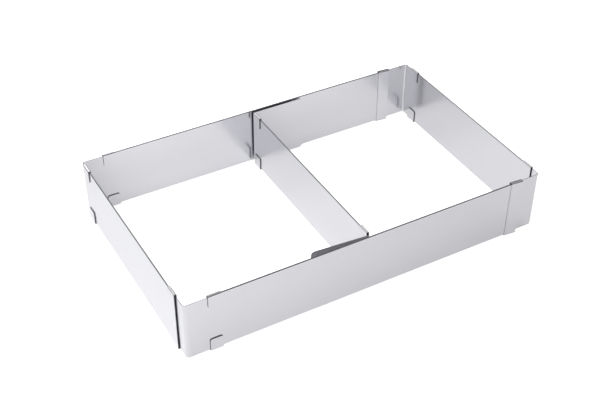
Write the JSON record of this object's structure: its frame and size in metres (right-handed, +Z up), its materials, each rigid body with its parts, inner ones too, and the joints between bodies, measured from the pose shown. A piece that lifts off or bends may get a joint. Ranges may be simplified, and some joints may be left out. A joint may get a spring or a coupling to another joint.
{
  "type": "adjustable cake frame",
  "caption": "Rectangular bottomless baking frame of thin stainless sheet whose corner sheets slide in each other to set width and depth, with an adjustable divider.",
  "frame": {"origin": "centre of the frame on the plane that its bottom hooks stand on, at the rest size", "axes": "+X to the right along the long sides, +Y from the front side to the back side, +Z up"},
  "size_m": [0.3084, 0.191, 0.0524],
  "materials": {
    "front_left_sheet": "bright rolled stainless steel sheet, 0.5 mm, with cut edges",
    "front_right_sheet": "bright rolled stainless steel sheet, 0.5 mm, with cut edges",
    "back_right_sheet": "bright rolled stainless steel sheet, 0.5 mm, with cut edges",
    "back_left_sheet": "bright rolled stainless steel sheet, 0.5 mm, with cut edges",
    "divider_front_half": "bright rolled stainless steel sheet, 0.5 mm, with cut edges",
    "divider_back_half": "bright rolled stainless steel sheet, 0.5 mm, with cut edges"
  },
  "bodies": {
    "front_left": {"front_left_sheet": "front_left_sheet"},
    "front_right": {"front_right_sheet": "front_right_sheet"},
    "back_right": {"back_right_sheet": "back_right_sheet"},
    "back_left": {"back_left_sheet": "back_left_sheet"},
    "divider_front": {"divider_front_half": "divider_front_half"},
    "divider_back": {"divider_back_half": "divider_back_half"}
  },
  "joints": [
    {"name": "width_slide", "type": "slide", "parent": "front_left", "child": "front_right", "axis": [1, 0, 0], "range_m": [-0.013, 0.248]},
    {"name": "depth_slide", "type": "slide", "parent": "front_left", "child": "back_left", "axis": [0, 1, 0], "range_m": [-0.0015, 0.147]},
    {"name": "right_depth_slide", "type": "slide", "parent": "front_right", "child": "back_right", "axis": [0, 1, 0], "range_m": [-0.0015, 0.147]},
    {"name": "divider_shift", "type": "slide", "parent": "front_left", "child": "divider_front", "axis": [1, 0, 0], "range_m": [-0.1, 0.095]},
    {"name": "divider_extend", "type": "slide", "parent": "divider_front", "child": "divider_back", "axis": [0, 1, 0], "range_m": [-0.0015, 0.147]}
  ],
  "couplings": [
    {"joint": "right_depth_slide", "follows": "depth_slide", "ratio": 1},
    {"joint": "divider_extend", "follows": "depth_slide", "ratio": 1}
  ]
}
